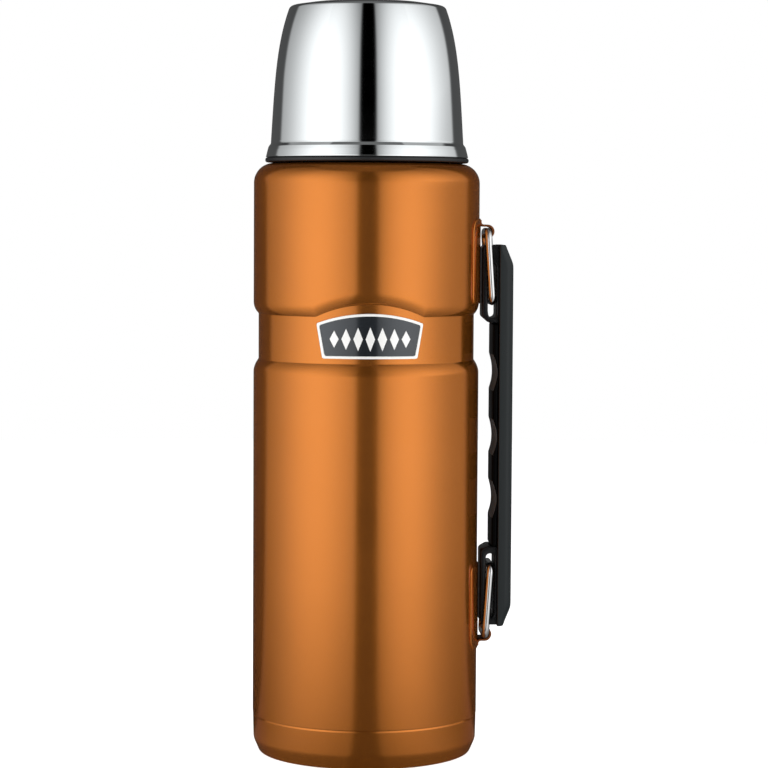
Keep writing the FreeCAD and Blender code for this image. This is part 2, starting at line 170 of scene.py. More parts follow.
def breakup_group():
    """Shared unevenness of a finish: soft cloudy patches that move the roughness and the tone, and a fine
    grain for the height of a bump."""
    group = bpy.data.node_groups.new("finish_breakup", "ShaderNodeTree")
    for label, value in (("Cloud Scale", 40.0), ("Grain Scale", 2000.0), ("Rough Low", 0.2), ("Rough High", 0.3)):
        group.interface.new_socket(label, in_out="INPUT", socket_type="NodeSocketFloat").default_value = value
    for label in ("Roughness", "Tone", "Grain"):
        group.interface.new_socket(label, in_out="OUTPUT", socket_type="NodeSocketFloat")
    nodes, links = group.nodes, group.links
    given = nodes.new("NodeGroupInput")
    result = nodes.new("NodeGroupOutput")
    place = nodes.new("ShaderNodeTexCoord")
    cloud = nodes.new("ShaderNodeTexNoise")
    cloud.inputs["Detail"].default_value = 5.0
    cloud.inputs["Roughness"].default_value = 0.6
    grain = nodes.new("ShaderNodeTexNoise")
    grain.inputs["Detail"].default_value = 2.0
    spread = nodes.new("ShaderNodeMapRange")
    spread.inputs["From Min"].default_value = 0.3
    spread.inputs["From Max"].default_value = 0.7
    links.new(place.outputs["Object"], cloud.inputs["Vector"])
    links.new(place.outputs["Object"], grain.inputs["Vector"])
    links.new(given.outputs["Cloud Scale"], cloud.inputs["Scale"])
    links.new(given.outputs["Grain Scale"], grain.inputs["Scale"])
    links.new(cloud.outputs["Fac"], spread.inputs["Value"])
    links.new(given.outputs["Rough Low"], spread.inputs["To Min"])
    links.new(given.outputs["Rough High"], spread.inputs["To Max"])
    links.new(spread.outputs["Result"], result.inputs["Roughness"])
    links.new(cloud.outputs["Fac"], result.inputs["Tone"])
    links.new(grain.outputs["Fac"], result.inputs["Grain"])
    return group


breakup = breakup_group()


def finish_of(name, dark, light, rough, cloud=40.0, grain=2000.0, bump=0.02, depth=0.00005, metallic=0.0, **more):
    """A finish: its colour drifts between two tones and its roughness between two values with the cloudy
    patches, and its grain is a bump of the given strength and depth in metres."""
    material = bpy.data.materials.new(name)
    material.use_nodes = True
    nodes, links = material.node_tree.nodes, material.node_tree.links
    shader = nodes["Principled BSDF"]
    shader.inputs["Metallic"].default_value = metallic
    for label, value in more.items():
        shader.inputs[label.replace("_", " ").title().replace("Ior", "IOR")].default_value = value
    uneven = nodes.new("ShaderNodeGroup")
    uneven.node_tree = breakup
    for label, value in (("Cloud Scale", cloud), ("Grain Scale", grain), ("Rough Low", rough[0]),
                         ("Rough High", rough[1])):
        uneven.inputs[label].default_value = value
    tone = nodes.new("ShaderNodeMix")
    tone.data_type = "RGBA"
    tone.inputs["A"].default_value = (*dark, 1)
    tone.inputs["B"].default_value = (*light, 1)
    relief = nodes.new("ShaderNodeBump")
    relief.inputs["Strength"].default_value = bump
    relief.inputs["Distance"].default_value = depth
    links.new(uneven.outputs["Tone"], tone.inputs["Factor"])
    links.new(tone.outputs["Result"], shader.inputs["Base Color"])
    links.new(uneven.outputs["Roughness"], shader.inputs["Roughness"])
    links.new(uneven.outputs["Grain"], relief.inputs["Height"])
    links.new(relief.outputs["Normal"], shader.inputs["Normal"])
    return material


lacquer = finish_of("copper_orange_lacquer", (0.50, 0.156, 0.022), (0.57, 0.180, 0.028), (0.15, 0.20), cloud=25.0,
                    grain=350.0, bump=0.01, depth=0.0001, metallic=0.85, coat_weight=0.35, coat_roughness=0.05)
lacquer.node_tree.nodes["Principled BSDF"].inputs["Specular Tint"].default_value = (1.0, 0.45, 0.12, 1.0)
bare_steel = finish_of("bare_neck_steel", (0.52, 0.52, 0.52), (0.62, 0.62, 0.62), (0.22, 0.32), grain=3000.0,
                       metallic=1.0)
skin.data.materials.append(lacquer)
skin.data.materials.append(bare_steel)
neck_line = (SHOULDER - 0.05) * MM
skin_faces = np.array([face.center[:] for face in skin.data.polygons])
bare = (np.hypot(skin_faces[:, 0], skin_faces[:, 1]) < (NECK_RADIUS + 2.4) * MM) & (skin_faces[:, 2] > neck_line)
skin.data.polygons.foreach_set("material_index", bare.astype(np.int32))
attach(skin, "flask")
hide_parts("outer_shell")

# ======================================================================================================
# Base cap: a lacquered pressing with a tight lower corner, a flat standing ring and a recessed middle. A
# collar fits inside the skin, and a steel disc hides the soldered evacuation port.
# ======================================================================================================
base = turned("base", filleted([
    (2.0, 3.0, 0), (32.5, 3.0, 1.6), (35.6, 0.0, 0.5), (44.3, 0.0, 1.6), (46.75, 5.6, 6.0),
    (46.98, SEAM - 0.85, 0.15), (46.76, SEAM - 0.12, 0.06), (46.25, SEAM - 0.1, 0.1), (46.25, SEAM + 7, 0),
    (45.65, SEAM + 7, 0), (45.65, SEAM - 0.5, 0.3), (46.2, SEAM - 1.4, 0.3), (46.1, 5.9, 5.0), (43.9, 0.6, 1.0),
    (35.9, 0.6, 0.5), (32.8, 3.6, 1.6), (2.0, 3.6, 0)]), around=300)
base.data.materials.append(lacquer)
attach(base, "flask")
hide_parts("base_cap")

port_disc = turned("port_disc", filleted([
    (0.0, 2.1, 0), (9.0, 2.1, 0), (9.4, 2.1, 0), (13.7, 2.1, 0.2), (14.0, 2.3, 0.1), (14.0, 2.6, 0),
    (0.0, 2.6, 0)]), around=120)
brushed = finish_of("brushed_steel_disc", (0.50, 0.50, 0.50), (0.60, 0.60, 0.60), (0.25, 0.35), grain=5000.0,
                    bump=0.1, metallic=1.0)
port_disc.data.materials.append(brushed)
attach(port_disc, "flask")
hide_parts("port_cover")

# ======================================================================================================
# Inside of the flask: the steel vessel with its rolled lip, the foil, the getter and the solder plug. They
# keep their designed shapes and get their finishes.
# ======================================================================================================
vessel_steel = finish_of("vessel_steel", (0.50, 0.50, 0.50), (0.62, 0.62, 0.61), (0.18, 0.30), grain=3500.0,
                         bump=0.05, metallic=1.0)
foil_finish = finish_of("copper_foil", (0.75, 0.45, 0.32), (0.85, 0.60, 0.46), (0.15, 0.4), cloud=120.0,
                        bump=0.3, metallic=1.0)
getter_finish = finish_of("sintered_getter", (0.10, 0.10, 0.10), (0.2, 0.2, 0.2), (0.6, 0.8), bump=0.4,
                          metallic=0.6)
solder_finish = finish_of("solder", (0.42, 0.42, 0.43), (0.55, 0.55, 0.56), (0.35, 0.5), bump=0.1, metallic=1.0)
for node, finish in (("inner_vessel", vessel_steel), ("radiation_shield", foil_finish),
                     ("getter", getter_finish), ("vacuum_seal", solder_finish)):
    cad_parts[node].data.materials.clear()
    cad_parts[node].data.materials.append(finish)


def thread(name, radius, height, start, outward, turns=1.25, pitch=5.0):
    """A thread's ridge: a trapezoid that stands off a neck and runs along a helix, its height fading to
    nothing over the first and last eighth of a turn."""
    side = 1.0 if outward else -1.0
    around = np.linspace(0, turns, 220)[:, None]
    run_out = np.clip(np.minimum(around, turns - around) * 8, 0.02, 1) ** 0.5
    section = np.array([(-0.2, -1.2), (0.0, -1.15), (0.8, -0.55), (1.0, -0.35), (1.0, 0.35), (0.8, 0.55),
                        (0.0, 1.15), (-0.2, 1.2)])
    stand = np.where(section[None, :, 0] > 0, section[None, :, 0] * height * run_out, section[None, :, 0])
    wide = section[None, :, 1] * (0.4 + 0.6 * run_out)
    r = radius + side * stand
    angle = 2 * math.pi * around
    points = np.stack([r * np.cos(angle), r * np.sin(angle), start + pitch * around + wide], axis=-1)
    return surface(name, points, False, True, cap_ends=True, crease=50.0)


neck_thread = thread("neck_thread", NECK_RADIUS, 0.9, 250.5, True)
neck_thread.data.materials.append(bare_steel)
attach(neck_thread, "flask")

# ======================================================================================================
# Badge: a curved charcoal plate in the belt, with a bright raised rim. A plain row of lozenges stands
# where a maker would put a name.
# ======================================================================================================
BADGE_LOW = (19.1, 167.4)
BADGE_HIGH = (21.5, 181.8)
BADGE_CROWN = 185.6
BADGE_MIDDLE = 175.5
BADGE_LIFT = 0.03
PLATE_THICK = 0.6
RIM_WIDE = 1.05
RIM_THICK = 0.38


def spaced(points, count):
    """The same closed line with evenly spaced points, starting where it started."""
    closed = np.vstack([points, points[:1]])
    travelled = np.concatenate([[0], np.cumsum(np.linalg.norm(np.diff(closed, axis=0), axis=1))])
    wanted = np.linspace(0, travelled[-1], count, endpoint=False)
    return np.stack([np.interp(wanted, travelled, closed[:, k]) for k in (0, 1)], axis=1)


def badge_edge(inset, count=40):
    """The badge's outline as distance along the belt and height: flat below, leaning sides, arched top."""
    across = BELT_RADIUS
    low = across * math.asin(BADGE_LOW[0] / across) - inset * 0.95
    high = across * math.asin(BADGE_HIGH[0] / across) - inset * 1.1
    foot = BADGE_LOW[1] + inset
    eave = BADGE_HIGH[1] - inset * 0.75
    rise = BADGE_CROWN - BADGE_HIGH[1] - 0.25 * inset
    corners = [(0.0, foot, 0), (low, foot, 0.8), (high, eave, 0.7)]
    right = filleted(corners + [(0.0, eave + 0.001, 0)], steps=6)[:-1]
    x = np.linspace(right[-1][0], -right[-1][0], count)[1:-1]
    top = np.stack([x, right[-1][1] + (eave + rise - right[-1][1]) * (1 - (x / right[-1][0]) ** 2)], axis=1)
    left = right[::-1] * (-1, 1)
    return spaced(np.concatenate([right, top, left[:-1]]), 160)


def framed(name, inner, outer, section, place, crease=35.0):
    """A plate between two outlines with as many points each. The section's (part, height) says how far a
    row is from the inner to the outer outline, and how high it stands; place puts it in space."""
    part = section[:, 0][:, None, None]
    flat = inner[None] + part * (outer[None] - inner[None])
    height = np.broadcast_to(section[:, 1][:, None], flat.shape[:2])
    return surface(name, place(flat[..., 0], flat[..., 1], height), True, True, crease=crease)


def wrapped(radius, facing):
    """Wraps a flat layout on a cylinder: a distance along becomes an angle, and a height adds to the radius."""
    def place(along, up, height):
        angle = facing + along / radius
        return np.stack([(radius + height) * np.cos(angle), (radius + height) * np.sin(angle), up], axis=-1)
    return place


def plate_section(thickness, rounding, span, rings=8):
    """Section of a solid plate, from its middle on top over a rounded edge to its middle below. span is the
    distance from the middle to the edge, which turns the rounding into a part of it."""
    turn = np.linspace(0, math.pi / 2, 6)
    edge = np.stack([1 - (rounding / span) * (1 - np.sin(turn)), thickness - rounding * (1 - np.cos(turn))], axis=1)
    top = np.stack([np.linspace(0, 1 - 1.7 * rounding / span, rings), np.full(rings, thickness)], axis=1)
    below = np.stack([np.linspace(1, 0, rings), np.zeros(rings)], axis=1)
    return np.concatenate([top, edge, below])


def bar_section(thickness, rounding, width):
    """Section of a frame bar as wide as the gap between its outlines, with its two upper edges rounded."""
    turn = np.linspace(0, math.pi / 2, 5)
    part = rounding / width
    outer = np.stack([1 - part * (1 - np.sin(turn)), thickness - rounding * (1 - np.cos(turn))], axis=1)
    inner = np.stack([part * (1 - np.cos(turn)), thickness - rounding * (1 - np.sin(turn))], axis=1)
    return np.concatenate([[(0.0, 0.0)], inner, outer, [(1.0, 0.0)]])


badge_outline = badge_edge(0.0)
badge_field = badge_edge(RIM_WIDE)
badge_middle = np.broadcast_to(np.array([0.0, BADGE_MIDDLE]), badge_outline.shape)
on_belt = wrapped(BELT_RADIUS + BADGE_LIFT, FRONT)
on_plate = wrapped(BELT_RADIUS + PLATE_THICK + 0.02, FRONT)
plate = framed("badge_plate_face", badge_middle, badge_outline, plate_section(PLATE_THICK, 0.2, 10.0), on_belt)
charcoal = finish_of("charcoal_enamel", (0.022, 0.027, 0.032), (0.032, 0.038, 0.045), (0.10, 0.14), cloud=90.0,
                     grain=2500.0, bump=0.03, metallic=0.55, coat_weight=0.7, coat_roughness=0.05)
plate.data.materials.append(charcoal)
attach(plate, "flask")
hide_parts("badge_plate")

rim = framed("badge_rim", badge_field, badge_outline, bar_section(RIM_THICK, 0.16, RIM_WIDE), on_plate)
bright_nickel = finish_of("bright_rim", (0.88, 0.88, 0.86), (0.95, 0.95, 0.93), (0.30, 0.40), metallic=0.2)
rim.data.materials.append(bright_nickel)
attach(rim, "flask")
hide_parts("badge_border")

LOZENGES = 7
LOZENGE_PITCH = 4.9
LOZENGE_WIDE = 1.9
LOZENGE_TALL = 4.9
LOZENGE_MIDDLE = 175.3
for i in range(LOZENGES):
    offset = (i - (LOZENGES - 1) / 2) * LOZENGE_PITCH
    wide, tall = LOZENGE_WIDE, LOZENGE_TALL - 0.16 * (offset / LOZENGE_PITCH) ** 2
    centre = np.array([offset, LOZENGE_MIDDLE])
    ring = subdivided(np.array([(wide, 0.0), (0.0, tall), (-wide, 0.0), (0.0, -tall), (wide, 0.0)]), 0.9)[:-1]
    ring = ring + centre
    lozenge = framed(f"badge_lozenge_{i + 1}", np.broadcast_to(centre, ring.shape), ring,
                     plate_section(0.28, 0.12, 1.4), on_plate)
    lozenge.data.materials.append(bright_nickel)
    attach(lozenge, "flask")

# ======================================================================================================
# Brackets: a thin curved saddle spot-welded to the body. A strip leaves the saddle's head and is rolled
# into a hook round the wire ring's bar. Both are the same lacquered pressing, one turned upside down.
# ======================================================================================================
# The hooks are lacquered like the body. This darker copy of the lacquer is painted shade, for the shadow the hooks
# sit in.
hook_lacquer_painted_shade = finish_of("hook_lacquer_painted_shade", (0.20, 0.060, 0.010), (0.25, 0.076, 0.014), (0.40, 0.48), cloud=60.0,
                            grain=350.0, bump=0.01, depth=0.0001, metallic=0.55)
PIVOT_X = 50.2
PIVOT_HIGH = 218.6
PIVOT_LOW = 49.6
HOOK_RADIUS = 2.9
HOOK_SHEET = 0.9
HOOK_HALF = 6.0
SADDLE_LOW = 188.6
SADDLE_HIGH = 224.0
SADDLE_HALF = 19.8
SADDLE_SHEET = 0.5
SADDLE_FOOT = 3.0
SADDLE_HEAD = 6.0
HOOK_LIP = math.radians(-70)


def swept(name, line, plane_normal, section, closed, crease=40.0):
    """A section carried along a flat line. Its first axis points out of the line's left side and its second
    along the plane's normal; the side is the normal crossed with the line's own direction."""
    if closed:
        ahead = np.roll(line, -1, axis=0) - np.roll(line, 1, axis=0)
    else:
        ahead = np.gradient(line, axis=0)
    ahead = ahead / np.linalg.norm(ahead, axis=1, keepdims=True)
    side = np.cross(plane_normal, ahead)
    points = line[:, None] + side[:, None] * section[None, :, :1] + np.array(plane_normal) * section[None, :, 1:]
    return surface(name, points, closed, True, cap_ends=not closed, crease=crease)


def rounded_bar(half_width, half_height, rounding, steps=4):
    """The outline of a rectangle with rounded corners, centred on zero."""
    a, b = half_width, half_height
    corners = [(0, -b, 0), (a, -b, rounding), (a, b, rounding), (-a, b, rounding), (-a, -b, rounding), (0, -b, 0)]
    return filleted(corners, steps=steps)[:-1]


def flipped(height, upside_down):
    """A height on the upper bracket, or its mirror image on the lower one."""
    return PIVOT_HIGH + PIVOT_LOW - height if upside_down else height


for label, upside_down in (("upper", False), ("lower", True)):
    half, foot, head = SADDLE_HALF, SADDLE_FOOT, SADDLE_HEAD
    edge = filleted([(0, SADDLE_LOW, 0), (half, SADDLE_LOW, foot), (half, SADDLE_HIGH, head),
                     (-half, SADDLE_HIGH, head), (-half, SADDLE_LOW, foot), (0, SADDLE_LOW, 0)], steps=10)
    rows = subdivided(edge, 1.2)[:-1]
    rows = np.stack([rows[:, 0], flipped(rows[:, 1], upside_down)], axis=1)
    middle = np.array([0.0, flipped((SADDLE_LOW + SADDLE_HIGH) / 2, upside_down)])
    saddle = framed(f"{label}_saddle", np.broadcast_to(middle, rows.shape), rows,
                    plate_section(SADDLE_SHEET, 0.45, SADDLE_HALF, rings=14), wrapped(BODY_RADIUS + 0.05, 0.0))
    turn = np.linspace(math.pi / 2, HOOK_LIP, 40)
    centre_line = HOOK_RADIUS - HOOK_SHEET / 2
    roll = np.stack([PIVOT_X + centre_line * np.cos(turn), PIVOT_HIGH + centre_line * np.sin(turn)], axis=1)
    root = BODY_RADIUS + 0.15
    strip = filleted([(root, SADDLE_HIGH - 0.6, 0), (root, PIVOT_HIGH + centre_line, 1.5), (*roll[0], 0)], steps=10)
    run = np.vstack([subdivided(strip, 0.5)[:-1], roll])
    line = np.stack([run[:, 0], np.zeros(len(run)), flipped(run[:, 1], upside_down)], axis=1)
    hook = swept(f"{label}_hook", line, (0.0, 1.0, 0.0), rounded_bar(HOOK_SHEET / 2, HOOK_HALF, 0.25), False)
    # The saddle wears the body's lacquer, and the hook wears the darker copy with the painted shade.
    for piece, finish in ((saddle, lacquer), (hook, hook_lacquer_painted_shade)):
        piece.data.materials.append(finish)
        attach(piece, "flask")
    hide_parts(f"{label}_bracket")

# ======================================================================================================
# Wire rings: 3 mm stainless wire bent into a long loop, welded and polished. One bar turns in the
# bracket's hook, the other carries the grip.
# ======================================================================================================
RING_LENGTH = 29.2
RING_LEAN = math.radians(3.9)
RING_HALF = 10.0
RING_BEND = 3.0
WIRE = 1.5
polished_wire = finish_of("polished_wire", (0.62, 0.62, 0.62), (0.74, 0.74, 0.74), (0.08, 0.16), cloud=150.0,
                          grain=4000.0, bump=0.02, metallic=1.0)
for label, pivot, upward in (("upper", PIVOT_HIGH, 1.0), ("lower", PIVOT_LOW, -1.0)):
    along = np.array([math.sin(RING_LEAN), 0.0, -upward * math.cos(RING_LEAN)])
    across = np.array([0.0, 1.0, 0.0])
    half = RING_LENGTH / 2
    loop = subdivided(np.vstack([rounded_bar(RING_HALF, half, RING_BEND, steps=10), [(0, -half)]]), 1.0)[:-1]
    line = np.array([PIVOT_X, 0.0, pivot]) + loop[:, :1] * across + (loop[:, 1:] + half) * along
    turn = np.linspace(0, 2 * math.pi, 32, endpoint=False)
    wire_section = WIRE * np.stack([np.cos(turn), np.sin(turn)], axis=1)
    wire = swept(f"{label}_wire_ring", line, np.cross(across, along), wire_section, True)
    wire.data.materials.append(polished_wire)
    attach(wire, "ring_high" if label == "upper" else "ring_low")
    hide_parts(f"{label}_ring")

# ======================================================================================================
# Grip core: near-black moulding. Its spine lies in the cover, and each ear has a through slot in which a
# wire ring's bar turns and slides.
# ======================================================================================================
GRIP_SPLIT = 55.0
EAR_IN = 48.2
GRIP_LOW = 53.8
GRIP_HIGH = 213.1
EAR_HALF = 8.0
SLOT_MIDDLE = PIVOT_X + RING_LENGTH * math.sin(RING_LEAN)
SLOT_HALF = 1.8
core_plastic = finish_of("core_plastic", (0.004, 0.004, 0.005), (0.008, 0.008, 0.009), (0.22, 0.30), cloud=60.0,
                         grain=2600.0, bump=0.06, depth=0.00004, specular_ior_level=0.32)


def upright(along, up, height):
    """Stands a flat layout up in the plane of the handle, its height running across the handle."""
    return np.stack([along, height, up], axis=-1)


def ear_section():
    """Section of an ear between its slot and its outline, both faces with rounded edges."""
    turn = np.linspace(0, math.pi / 2, 5)
    away = 0.22 * (1 - np.sin(turn))
    face = EAR_HALF - 0.5 * (1 - np.cos(turn))
    upper = np.concatenate([np.stack([away, face], axis=1)[::-1], np.stack([1 - away, face], axis=1)])
    return np.concatenate([upper, upper[::-1] * (1, -1)])


ears = (
    ("upper", [(EAR_IN, 195.0, 0), (EAR_IN, GRIP_HIGH - 0.05, 1.8), (56.4, GRIP_HIGH - 0.05, 0.3), (56.4, 180.3, 0.5),
               (51.6, 180.3, 1.4), (EAR_IN, 183.2, 1.6), (EAR_IN, 195.0, 0)], (182.7, 205.2)),
    ("lower", [(EAR_IN, 70.0, 0), (EAR_IN, 85.4, 1.6), (51.2, 87.1, 1.4), (56.4, 87.1, 0.5),
               (56.4, GRIP_LOW + 0.05, 0.3), (EAR_IN, GRIP_LOW + 0.05, 1.8), (EAR_IN, 70.0, 0)], (56.8, 83.9)),
)
for label, corners, (low, high) in ears:
    outline = spaced(filleted(corners)[:-1], 160)
    slot = [(SLOT_MIDDLE - SLOT_HALF, corners[0][1], 0), (SLOT_MIDDLE - SLOT_HALF, high, 1.7),
            (SLOT_MIDDLE + SLOT_HALF, high, 1.7), (SLOT_MIDDLE + SLOT_HALF, low, 1.7),
            (SLOT_MIDDLE - SLOT_HALF, low, 1.7), (SLOT_MIDDLE - SLOT_HALF, corners[0][1], 0)]
    opening = spaced(filleted(slot)[:-1], 160)
    ear = framed(f"{label}_ear", opening, outline, ear_section(), upright, crease=50.0)
    ear.data.materials.append(core_plastic)
    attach(ear, "grip")
    if label == "upper":
        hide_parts("handle_core")

SPINE_X = 56.2
SPINE_LOW = 56.0
SPINE_HIGH = 210.5
spine_line = np.stack([np.full(60, SPINE_X), np.zeros(60), np.linspace(SPINE_LOW, SPINE_HIGH, 60)], axis=1)
spine = swept("spine", spine_line, (0.0, 1.0, 0.0), rounded_bar(1.2, 10.4, 0.3), False)
spine.data.materials.append(core_plastic)
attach(spine, "grip")

# ======================================================================================================
# Finger grip: a soft black over-moulding between the ears, with a hollow for each finger. Each hollow is
# shallower in the middle of the grip and runs deeper to its edges.
# ======================================================================================================
GRIP_IN = 52.2
GRIP_FACE_HALF = 11.6
HOLLOWS = (107.0, 133.0, 160.0)
HOLLOW_HALF = 7.6
HOLLOW_POWER = 1.3
HOLLOW_MIDDLE = 0.85
HOLLOW_EDGE = 2.2
FACE_LOW = 87.3
FACE_HIGH = 180.2
FACE_ROUND = 0.8
face_end = FACE_ROUND * (1 - np.cos(np.linspace(0, math.pi / 2, 5)))
grip_height = np.concatenate([FACE_LOW + face_end, np.linspace(FACE_LOW + 1.2, FACE_HIGH - 1.2, 260),
                              (FACE_HIGH - face_end)[::-1]])
grip_end = np.clip(np.minimum(grip_height - FACE_LOW, FACE_HIGH - grip_height), 0, FACE_ROUND)
grip_shrink = FACE_ROUND - np.sqrt(FACE_ROUND ** 2 - (FACE_ROUND - grip_end) ** 2)
half_deep = (GRIP_SPLIT - GRIP_IN - 0.05) / 2
grip_ring = spaced(rounded_bar(1.0, 1.0, 0.55, steps=8) * (half_deep, GRIP_FACE_HALF), 120)
ring_x = grip_ring[None, :, 0]
ring_y = grip_ring[None, :, 1]
hollow = sum(np.clip(1 - ((grip_height - z) / HOLLOW_HALF) ** 2, 0, None) ** HOLLOW_POWER for z in HOLLOWS)[:, None]
hollow_depth = hollow * (HOLLOW_MIDDLE + (HOLLOW_EDGE - HOLLOW_MIDDLE) * (ring_y / GRIP_FACE_HALF) ** 2)
inner_part = np.clip(0.5 - ring_x / (2 * half_deep), 0, 1)
grip_x = GRIP_IN + half_deep + ring_x * (1 - grip_shrink[:, None] / half_deep) + hollow_depth * inner_part
grip_y = ring_y * (1 - grip_shrink[:, None] / GRIP_FACE_HALF)
finger_grip = surface("finger_grip_face", np.stack([grip_x, np.broadcast_to(grip_y, grip_x.shape),
                                                    np.broadcast_to(grip_height[:, None], grip_x.shape)], axis=-1),
                      False, True, cap_ends=True, crease=60.0)
soft_black = finish_of("soft_black_grip", (0.001, 0.001, 0.001), (0.002, 0.002, 0.002), (0.30, 0.38), cloud=80.0,
                       grain=3200.0, bump=0.05, depth=0.00004, specular_ior_level=0.03)
# The hollows are the same black moulding. This lighter grey copy is a painted sheen, for the light that the hollows'
# sides catch.
hollow_painted_sheen = finish_of("hollow_painted_sheen", (0.080, 0.100, 0.112), (0.098, 0.122, 0.135), (0.40, 0.50), cloud=80.0,
                         grain=3200.0, bump=0.05, depth=0.00004)
finger_grip.data.materials.append(soft_black)
finger_grip.data.materials.append(hollow_painted_sheen)
# Faces in the hollows, on the inner half of the grip, get the painted sheen.
grip_faces = np.array([face.center[:] for face in finger_grip.data.polygons]) / MM
from_hollow = np.min(np.abs(grip_faces[:, 2:] - HOLLOWS), axis=1)
painted_sheen_faces = (from_hollow < HOLLOW_HALF) & (grip_faces[:, 0] < GRIP_SPLIT - 0.5) & (np.abs(grip_faces[:, 1]) < 11.2)
finger_grip.data.polygons.foreach_set("material_index", painted_sheen_faces.astype(np.int32))
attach(finger_grip, "grip")
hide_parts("finger_grip")

# ======================================================================================================
# Grip cover: dark grey moulding over the spine, bevelled at both ends and rounded along its outer edges,
# held by two screws from the inside.
# ======================================================================================================
GRIP_OUT = 60.9
COVER_HALF = 12.0
COVER_BEVEL = 8.0
COVER_SHOULDER = 57.5


def cover_sheet():
    """The cover as a grid, along its height and round its section: out along one side, over a rounded edge,
    and back the same way on the other side. Each end is bevelled:
        depth = GRIP_OUT - soft ln(1 + exp((GRIP_OUT - ramp) / soft)),  ramp = shoulder + slope * end."""
    ends = np.array([0.0, 0.05, 0.12, 0.22, 0.35, 1.2, 2.4, 4.0, 6.0, 7.0, 7.6, 8.1, 8.6, 9.4, 10.5])
    height = np.concatenate([GRIP_LOW + ends, np.linspace(GRIP_LOW + 12, GRIP_HIGH - 12, 70),
                             (GRIP_HIGH - ends)[::-1]])[:, None]
    end = np.minimum(height - GRIP_LOW, GRIP_HIGH - height)
    ramp = COVER_SHOULDER + (GRIP_OUT - COVER_SHOULDER) / COVER_BEVEL * end
    soft = 0.25
    lip = 0.35
    tight = lip - np.sqrt(np.clip(lip ** 2 - (lip - np.clip(end, 0, lip)) ** 2, 0, None))
    depth = GRIP_OUT - soft * np.logaddexp(0, (GRIP_OUT - ramp) / soft) - tight
    half = COVER_HALF - tight
    bend = np.minimum(3.0, (depth - GRIP_SPLIT) * 0.8)
    turn = np.linspace(0, math.pi / 2, 9)
    foot = np.ones_like(depth)
    x = np.concatenate([GRIP_SPLIT * foot, (GRIP_SPLIT + 0.25) * foot, depth - bend * (1 - np.sin(turn))], axis=1)
    y = np.concatenate([half - 0.25, half, half - bend * (1 - np.cos(turn))], axis=1)
    y = y - 0.55 * (np.clip(x - GRIP_SPLIT, 0, None) / (GRIP_OUT - GRIP_SPLIT)) ** 1.5
    outline = np.stack([np.concatenate([x, x[:, ::-1]], axis=1), np.concatenate([y, -y[:, ::-1]], axis=1)], axis=-1)
    points = np.concatenate([outline, np.broadcast_to(height[:, :, None], (*outline.shape[:2], 1))], axis=-1)
    return surface("grip_cover", points, False, True, cap_ends=True, crease=38.0)


cover = cover_sheet()
cover_plastic = finish_of("cover_plastic", (0.005, 0.008, 0.009), (0.008, 0.012, 0.013), (0.26, 0.34), cloud=50.0,
                          grain=2400.0, bump=0.06, depth=0.00004, specular_ior_level=0.28)
cover.data.materials.append(cover_plastic)
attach(cover, "grip")
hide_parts("handle_cover")
screw_finish = finish_of("plain_screw", (0.35, 0.35, 0.36), (0.5, 0.5, 0.5), (0.3, 0.4), metallic=1.0)
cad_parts["handle_screws"].data.materials.clear()
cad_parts["handle_screws"].data.materials.append(screw_finish)

# ======================================================================================================
# Stopper: an injection-moulded plug with a coarse thread, filled with foam, closed by a bottom disc and a
# fluted knob. A two-lipped silicone ring and an O-ring seal it.
# ======================================================================================================
moulded_black = finish_of("moulded_black", (0.018, 0.018, 0.019), (0.030, 0.030, 0.032), (0.32, 0.45), grain=2600.0,
                          bump=0.2, depth=0.00004)
silicone = finish_of("grey_silicone", (0.34, 0.34, 0.33), (0.44, 0.44, 0.43), (0.45, 0.6), bump=0.1,
                     subsurface_weight=0.15)
foam = finish_of("insulating_foam", (0.72, 0.69, 0.60), (0.85, 0.82, 0.74), (0.8, 0.9), grain=900.0, bump=0.8,
                 depth=0.0003)
plug = turned("plug", filleted([
    (25.5, 232.0, 0), (28.9, 232.0, 0.6), (28.9, 237.0, 0.15), (27.3, 237.0, 0.15), (27.3, 241.6, 0.15),
    (28.9, 241.6, 0.15), (28.9, 262.6, 0.4), (31.55, 262.6, 0.1), (31.55, 263.3, 0.2), (33.25, 263.3, 0.2),
    (33.25, 262.6, 0.1), (33.9, 262.6, 0.2), (33.9, 264.6, 0.5), (33.0, 265.0, 0.2), (26.0, 265.0, 0.3),
    (26.0, 272.0, 0.3), (24.0, 272.0, 0.3), (24.0, 263.5, 0.5), (25.5, 262.0, 0.5), (25.5, 232.0, 0)])[:-1])
plug_thread = thread("plug_thread", 28.9, 0.8, 248.6, True)
for piece in (plug, plug_thread):
    piece.data.materials.append(moulded_black)
    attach(piece, "stopper")
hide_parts("stopper_body")

KNOB_RADIUS = 30.5
KNOB_TOP = 283.0
FLUTES = 16
FLUTE_DEPTH = 1.5
knob_profile = subdivided(filleted([
    (26.1, 265.1, 0), (KNOB_RADIUS, 265.1, 0.5), (KNOB_RADIUS, KNOB_TOP - 0.5, 3.4), (20.0, KNOB_TOP - 0.2, 3.0),
    (18.0, KNOB_TOP - 0.9, 1.0), (0.0, KNOB_TOP - 0.9, 0), (0.0, KNOB_TOP - 2.6, 0), (27.0, KNOB_TOP - 3.0, 0.5),
    (27.0, 272.4, 0.2), (26.1, 272.1, 0.1), (26.1, 265.1, 0)]), 1.2)[:-1]
knob_angle = np.linspace(0, 2 * math.pi, 384, endpoint=False)
flute_band = np.interp(knob_profile[:, 1], [266.0, 268.0, KNOB_TOP - 4.5, KNOB_TOP - 2.0], [0, 1, 1, 0])
flute_band = flute_band * (knob_profile[:, 0] > 28)
flute = FLUTE_DEPTH * flute_band[:, None] * (0.5 + 0.5 * np.cos(FLUTES * knob_angle)) ** 3
knob_r = knob_profile[:, :1] - flute
knob = surface("knob", np.stack([knob_r * np.cos(knob_angle), knob_r * np.sin(knob_angle),
                                 np.broadcast_to(knob_profile[:, 1:], knob_r.shape)], axis=-1), True, True)
knob.data.materials.append(moulded_black)
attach(knob, "stopper")
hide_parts("stopper_knob")

